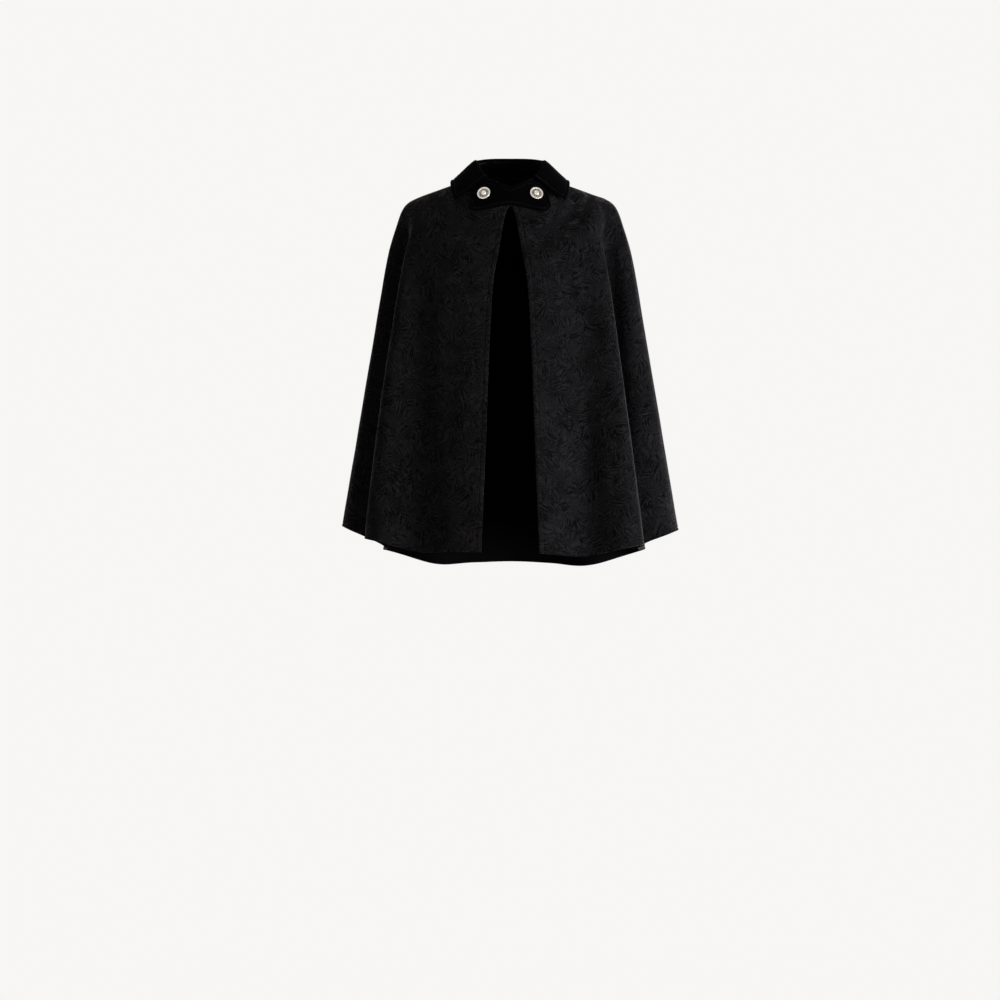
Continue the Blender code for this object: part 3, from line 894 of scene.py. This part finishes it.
def stand_points(turn, share):
    """Points on the outside of the collar's stand, from its upper edge, 0, to the neck seam, 1."""
    top = stand_top(turn)
    bottom = cloak_points(turn, 0.0) + np.array((0.0, 0.0, PIECE_GAP * MM))
    half = bpy.context.scene.cloak_sizes.stand / 2
    return mix(top, bottom, share[..., None]) + level_outward(top) * half


def fall_edge(turn):
    """The free edge of the collar's fall, on its exposed face."""
    half_turn = np.minimum(turn, 360.0 - turn)
    drop = between(FALL_EDGE, "drop", half_turn)
    lift = between(FALL_EDGE, "stand_off", half_turn) * MM + bpy.context.scene.cloak_sizes.velvet
    return cloak_points(turn, drop) + cloak_normals(turn, drop) * lift[..., None]


def fall_points(across, down):
    """Points on the exposed face of the collar's fall, at shares from the wearer's left and from the roll."""
    velvet = bpy.context.scene.cloak_sizes.velvet
    up = np.array((0.0, 0.0, MM))
    top = stand_top(mix(360.0 - FALL_ROLL_TURN, FALL_ROLL_TURN, across))
    outward = level_outward(top)
    rise = mix(FALL_ROLL_RISE_BACK, FALL_ROLL_RISE_END, np.abs(2 * across - 1) ** 4)[..., None]
    start = top - outward * velvet / 2 + up * PIECE_GAP
    roll = start - outward * FALL_ROLL_IN * MM + up * rise
    slope = start + outward * FALL_SHOULDER * MM - up * FALL_SAG
    edge = fall_edge(mix(360.0 - FALL_TIP_TURN, FALL_TIP_TURN, across))
    v = down[..., None]
    w = 1 - v
    return start * w**3 + roll * 3 * w**2 * v + slope * 3 * w * v**2 + edge * v**3


def graded_shares(length, line, first, last, plain):
    """Shares of a length in millimetres, close together at an end that has a stitched line."""
    steps = fine_steps(line / MM) / length
    start = steps if first else np.zeros(1)
    end = 1 - steps[::-1] if last else np.ones(1)
    return np.concatenate([start, np.linspace(start[-1], end[0], plain + 2)[1:-1], end])


def finish_velvet(name, form, edges, thickness, border):
    """A velvet piece on its form, rounded at its edges, with a stitched line inside some of them. Edges are
    distances in millimetres, and border holds those that have the stitched line."""
    normals = grid_normals(form)
    share = np.ones(form.shape[:2])
    for distance in edges:
        share = share * rounded(distance, thickness / MM / 2)
    line = bpy.context.scene.cloak_sizes.border / MM
    height = waver(form, VELVET_WAVER) - (1 - share) * thickness / MM / 2
    if border:
        height = height + stitched(np.minimum.reduce(border), line, VELVET_SEWN)
    points = form + normals * height[..., None] * MM
    velvet = (made_of("cotton velvet", cotton_velvet),)
    return add_sheet(name, points, share, thickness, velvet), points, normals


class CLOAK_OT_add_collar(bpy.types.Operator):
    """Add the collar: its upright stand, and the fall that turns down over it, with a stitched border"""

    bl_idname = "cloak.add_collar"
    bl_label = "Collar"

    def execute(self, context):
        sizes = context.scene.cloak_sizes
        turns = np.linspace(360.0 - STAND_END_TURN, STAND_END_TURN, STAND_COLUMNS)
        form = stand_points(*np.meshgrid(turns, np.linspace(0.0, 1.0, STAND_ROWS)))
        edges = (*from_ends(form, 0), *from_ends(form, 1))
        stand, _, _ = finish_velvet("collar_stand", form, edges, sizes.stand, ())

        across = graded_shares(FALL_ACROSS, sizes.border, True, True, FALL_COLUMNS)
        down = graded_shares(FALL_DOWN, sizes.border, False, True, FALL_ROWS)
        form = fall_points(*np.meshgrid(across, down))
        (from_roll, from_edge), (from_left, from_right) = from_ends(form, 0), from_ends(form, 1)
        sewn = (from_edge, from_left, from_right)
        fall, points, normals = finish_velvet("collar_fall", form, (from_roll, *sewn), sizes.velvet, sewn)
        line = sizes.border / MM
        edge, left, right = (level_line(points, normals, d, line, axis) for d, axis in zip(sewn, (0, 1, 1)))
        edge = edge[(from_left[-1] > line) & (from_right[-1] > line)]
        left, right = (leg[(from_edge[:, 0] > line) & (from_roll[:, 0] > line)] for leg in (left, right))
        stitches = add_stitches("collar_stitches", [np.concatenate([left, edge, right[::-1]])])
        return {"FINISHED"}


def tab_face(x, z):
    """Points on the tab's outer face, in millimetres."""
    share = (z - TAB_BEND_LOW_Z) / (TAB_BEND_HIGH_Z - TAB_BEND_LOW_Z)
    velvet = bpy.context.scene.cloak_sizes.velvet / MM
    bend = mix(TAB_BEND_LOW, TAB_BEND_HIGH, share)
    y = bend * x**2 - TAB_FRONT - TAB_LEAN * (STAND_TOP_FRONT - z) - velvet
    return np.stack([x, y, z], axis=-1)


def tab_points(across, down):
    """Points on the tab's outer face in metres, from the wearer's left and from the top, as shares."""
    side, share = np.sign(0.5 - across), np.abs(1 - 2 * across)
    x = mix(between(TAB_ROWS, "x_top", share), between(TAB_ROWS, "x_bottom", share), down)
    z = mix(between(TAB_ROWS, "z_top", share), between(TAB_ROWS, "z_bottom", share), down)
    return tab_face(side * x, z) * MM


class CLOAK_OT_add_tab(bpy.types.Operator):
    """Add the throat tab, a waisted piece of velvet with a stitched border"""

    bl_idname = "cloak.add_tab"
    bl_label = "Throat tab"

    def execute(self, context):
        sizes = context.scene.cloak_sizes
        across = graded_shares(TAB_ACROSS, sizes.border, True, True, TAB_PLAIN_COLUMNS)
        down = graded_shares(TAB_DOWN, sizes.border, True, True, TAB_PLAIN_ROWS)
        form = tab_points(*np.meshgrid(across, down))
        from_top, from_foot = from_ends(form, 0)
        from_left, from_right = from_ends(form, 1)
        sewn = (from_top, from_foot, from_left, from_right)
        tab, points, normals = finish_velvet("throat_tab", form, sewn, sizes.velvet, sewn)
        line = sizes.border / MM
        legs = [level_line(points, normals, d, line, axis) for d, axis in zip(sewn, (0, 0, 1, 1))]
        level = (np.minimum(from_left, from_right) > line)[len(down) // 2]
        upright = (np.minimum(from_top, from_foot) > line)[:, len(across) // 2]
        top, foot = (leg[level] for leg in legs[:2])
        left, right = (leg[upright] for leg in legs[2:])
        loop = np.concatenate([top, right, foot[::-1], left[::-1], top[:1]])
        stitches = add_stitches("throat_tab_stitches", [loop])
        return {"FINISHED"}


def add_button(name, side, sizes):
    """A cast button on the tab: a smooth rim, a ring of beads, a whorl of petals and a domed middle."""
    bm = bmesh.new()
    outline = [bm.verts.new((point.radius * MM, 0.0, point.height * MM)) for point in BUTTON_PROFILE]
    edges = [bm.edges.new(pair) for pair in zip(outline, outline[1:])]
    bmesh.ops.spin(
        bm,
        geom=outline + edges,
        cent=(0.0, 0.0, 0.0),
        axis=(0.0, 0.0, 1.0),
        angle=math.tau,
        steps=BUTTON_STEPS,
        use_merge=True,
    )
    bmesh.ops.remove_doubles(bm, verts=bm.verts, dist=1e-6)
    bmesh.ops.recalc_face_normals(bm, faces=bm.faces)
    hollow = bm.verts.layers.float.new("hollow")
    for vert in bm.verts:
        radius = math.hypot(vert.co.x, vert.co.y) / MM
        vert[hollow] = 1.0 if HOLLOW_INNER < radius < HOLLOW_OUTER else 0.0

    lie = Matrix.Translation(PETAL_PLACE * MM) @ Matrix.Rotation(math.radians(PETAL_TURN), 4, "Z")
    shape = lie @ Matrix.Diagonal((*(half * MM for half in PETAL_HALF_SIZES), 1.0))
    for k in range(sizes.petals):
        turn = Matrix.Rotation(math.tau * k / sizes.petals, 4, "Z")
        petal = bmesh.ops.create_uvsphere(bm, u_segments=14, v_segments=8, radius=1.0, matrix=turn @ shape)
        for vert in petal["verts"]:
            vert[hollow] = PETAL_TARNISH
    shape = Matrix.Translation(BEAD_PLACE * MM) @ Matrix.Scale(BEAD_RADIUS * MM, 4)
    for k in range(sizes.beads):
        turn = Matrix.Rotation(math.tau * k / sizes.beads, 4, "Z")
        bmesh.ops.create_uvsphere(bm, u_segments=8, v_segments=6, radius=1.0, matrix=turn @ shape)

    x, z, step = side * BUTTON_X, BUTTON_Z, 0.5
    seat, across, rise = tab_face(np.array((x, x + step, x)), np.array((z, z, z + step)))
    axis = Vector(np.cross(across - seat, rise - seat)).normalized()
    place = Matrix.LocRotScale((Vector(seat) + axis * PIECE_GAP) * MM, axis.to_track_quat("Z", "Y"), None)
    bmesh.ops.transform(bm, matrix=place, verts=bm.verts)
    mesh = smooth_mesh(name, bm, made_of("silver-plated pewter", cast_silver))
    return add_piece(name, mesh, (name,))


class CLOAK_OT_add_buttons(bpy.types.Operator):
    """Add the two cast buttons that fasten the throat tab"""

    bl_idname = "cloak.add_buttons"
    bl_label = "Buttons"

    def execute(self, context):
        for name, side in (("button_left", 1), ("button_right", -1)):
            add_button(name, side, context.scene.cloak_sizes)
        return {"FINISHED"}


class CLOAK_OT_set_stage(bpy.types.Operator):
    """Set the camera, the soft studio lights, and the pale floor and backdrop"""

    bl_idname = "cloak.set_stage"
    bl_label = "Stage"

    def execute(self, context):
        scene = context.scene
        camera = bpy.data.cameras.new("camera")
        camera.sensor_width = SENSOR_WIDTH
        camera.lens = SENSOR_WIDTH * abs(CAMERA_PLACE.y) / PICTURE_WIDTH
        scene.camera = bpy.data.objects.new("camera", camera)
        scene.camera.location = CAMERA_PLACE
        scene.camera.rotation_euler = (math.pi / 2, 0.0, 0.0)
        scene.collection.objects.link(scene.camera)
        for light in STAGE_LIGHTS:
            lamp = bpy.data.lights.new(light.name, "AREA")
            lamp.energy = light.watts
            lamp.size = light.size
            lamp.color = linear(light.colour)[:3]
            box = bpy.data.objects.new(light.name, lamp)
            box.location = light.place
            box.rotation_euler = (LIGHTS_AIM - light.place).to_track_quat("-Z", "Y").to_euler()
            box.visible_camera = False
            scene.collection.objects.link(box)
        self.lay_floor(scene)
        self.light_world(scene)
        scene.view_settings.view_transform = "Standard"
        return {"FINISHED"}

    def lay_floor(self, scene):
        """A wide pale floor that glows as evenly as the backdrop, so that no line shows where they meet."""
        bm = bmesh.new()
        place = Matrix.Translation((0.0, 0.0, FLOOR_Z))
        bmesh.ops.create_circle(bm, cap_ends=True, radius=FLOOR_RADIUS, segments=96, matrix=place)
        mesh = smooth_mesh("floor", bm, made_of("painted studio floor", floor_paint))
        floor = bpy.data.objects.new("floor", mesh)
        floor.visible_diffuse = floor.visible_glossy = False
        scene.collection.objects.link(floor)

    def light_world(self, scene):
        """A pale backdrop all round, dimmed where it lights the cloak, so that softboxes model the folds."""
        world = bpy.data.worlds.new("studio")
        world.use_nodes = True
        scene.world = world
        tree = world.node_tree
        ray = add_node(tree, "LightPath", {})
        mirrored = add_node(
            tree, "Math", {0: ray["Is Glossy Ray"], 1: MIRRORED_GLOW, 2: GLOW}, operation="MULTIPLY_ADD"
        )[0]
        seen = add_node(
            tree, "Math", {0: ray["Is Camera Ray"], 1: 1 - GLOW, 2: mirrored}, operation="MULTIPLY_ADD"
        )[0]
        set_inputs(tree, tree.nodes["Background"], {"Color": scene.cloak_colours.floor, "Strength": seen})


class CLOAK_PT_panel(bpy.types.Panel):
    """Lists the cloak's sizes, colours and pieces"""

    bl_idname = "CLOAK_PT_panel"
    bl_label = "Short cloak"
    bl_space_type = "VIEW_3D"
    bl_region_type = "UI"
    bl_category = "Cloak"

    def draw(self, context):
        for group in (context.scene.cloak_sizes, context.scene.cloak_colours):
            column = self.layout.column()
            for name in group.__annotations__:
                column.prop(group, name)
        for operator in OPERATORS:
            self.layout.operator(operator.bl_idname)


OPERATORS = (
    CLOAK_OT_set_stage,
    CLOAK_OT_add_fronts,
    CLOAK_OT_add_back,
    CLOAK_OT_add_collar,
    CLOAK_OT_add_tab,
    CLOAK_OT_add_buttons,
)
CLASSES = (CloakSizes, CloakColours, *OPERATORS, CLOAK_PT_panel)


def register():
    for item in CLASSES:
        bpy.utils.register_class(item)
    bpy.types.Scene.cloak_sizes = PointerProperty(type=CloakSizes)
    bpy.types.Scene.cloak_colours = PointerProperty(type=CloakColours)


def unregister():
    del bpy.types.Scene.cloak_colours
    del bpy.types.Scene.cloak_sizes
    for item in reversed(CLASSES):
        bpy.utils.unregister_class(item)


def main():
    """Builds the cloak on its stage."""
    register()
    bpy.ops.cloak.set_stage()
    bpy.ops.cloak.add_fronts()
    bpy.ops.cloak.add_back()
    bpy.ops.cloak.add_collar()
    bpy.ops.cloak.add_tab()
    bpy.ops.cloak.add_buttons()


if __name__ == "__main__":
    main()
